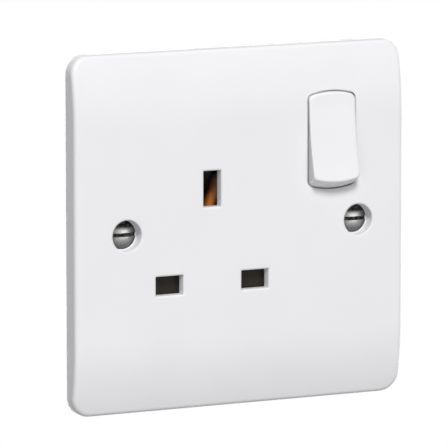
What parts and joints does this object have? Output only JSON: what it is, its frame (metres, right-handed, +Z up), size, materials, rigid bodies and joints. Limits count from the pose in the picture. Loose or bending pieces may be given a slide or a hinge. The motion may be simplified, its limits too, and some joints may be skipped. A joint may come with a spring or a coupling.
{
  "type": "wall socket",
  "caption": "Square white wall socket for flat-pin plugs, with a rocker switch, pin shutter, brass contacts and a screw-on rear housing.",
  "frame": {"origin": "on the wall plane at the plate's rear rim, midway between the two fixing screws", "axes": "+X right as seen from the room, +Y into the wall along the fixing screws, +Z up"},
  "size_m": [0.0855, 0.0331, 0.0848],
  "materials": {
    "plate_white": "glossy urea moulding",
    "rocker_white": "glossy urea moulding",
    "housing_white": "satin moulding",
    "shutter_brown": "satin dark brown moulding",
    "plunger_natural": "natural nylon",
    "strip_brass": "rolled strip",
    "terminal_brass": "sawn and drilled bar",
    "contact_silver": "silver rivet",
    "spring_steel": "drawn wire",
    "screw_nickel": "nickel plate",
    "screw_zinc": "bright zinc plate"
  },
  "bodies": {
    "socket": {"front_plate": "plate_white", "rear_housing": "housing_white", "shutter_spring": "spring_steel", "fixed_contact_tip": "contact_silver", "live_contact": "strip_brass", "neutral_contact": "strip_brass", "earth_contact": "strip_brass", "line_bracket": "strip_brass", "neutral_terminal": "terminal_brass", "earth_terminal": "terminal_brass", "line_terminal": "terminal_brass", "earth_strap": "strip_brass", "terminal_screws": "screw_zinc", "fixing_screws": "screw_nickel", "housing_screws": "screw_zinc"},
    "rocker": {"rocker": "rocker_white", "rocker_spring": "spring_steel"},
    "plunger": {"rocker_plunger": "plunger_natural"},
    "seesaw": {"moving_contact": "strip_brass", "moving_contact_tip": "contact_silver"},
    "shutter": {"shutter": "shutter_brown"}
  },
  "joints": [
    {"name": "rocker_tip", "type": "hinge", "parent": "socket", "child": "rocker", "pos_m": [0.0231, -0.0014, 0.01945], "axis": [1, 0, 0], "range_deg": [0, 17]},
    {"name": "seesaw_tip", "type": "hinge", "parent": "socket", "child": "seesaw", "pos_m": [0.0231, 0.0136, 0.01945], "axis": [1, 0, 0], "range_deg": [-20, 0]},
    {"name": "plunger_slide", "type": "slide", "parent": "rocker", "child": "plunger", "axis": [0, -0.989, 0.1478], "range_m": [0, 0.0008], "stiffness_N_per_m": 150, "springref_m": -0.004, "deforming": ["rocker_spring"]},
    {"name": "shutter_slide", "type": "slide", "parent": "socket", "child": "shutter", "axis": [0, 0, 1], "range_m": [0, 0.0061], "stiffness_N_per_m": 80, "springref_m": -0.004, "deforming": ["shutter_spring"]}
  ],
  "couplings": [
    {"joint": "seesaw_tip", "follows": "rocker_tip", "ratio": -1.1765}
  ]
}
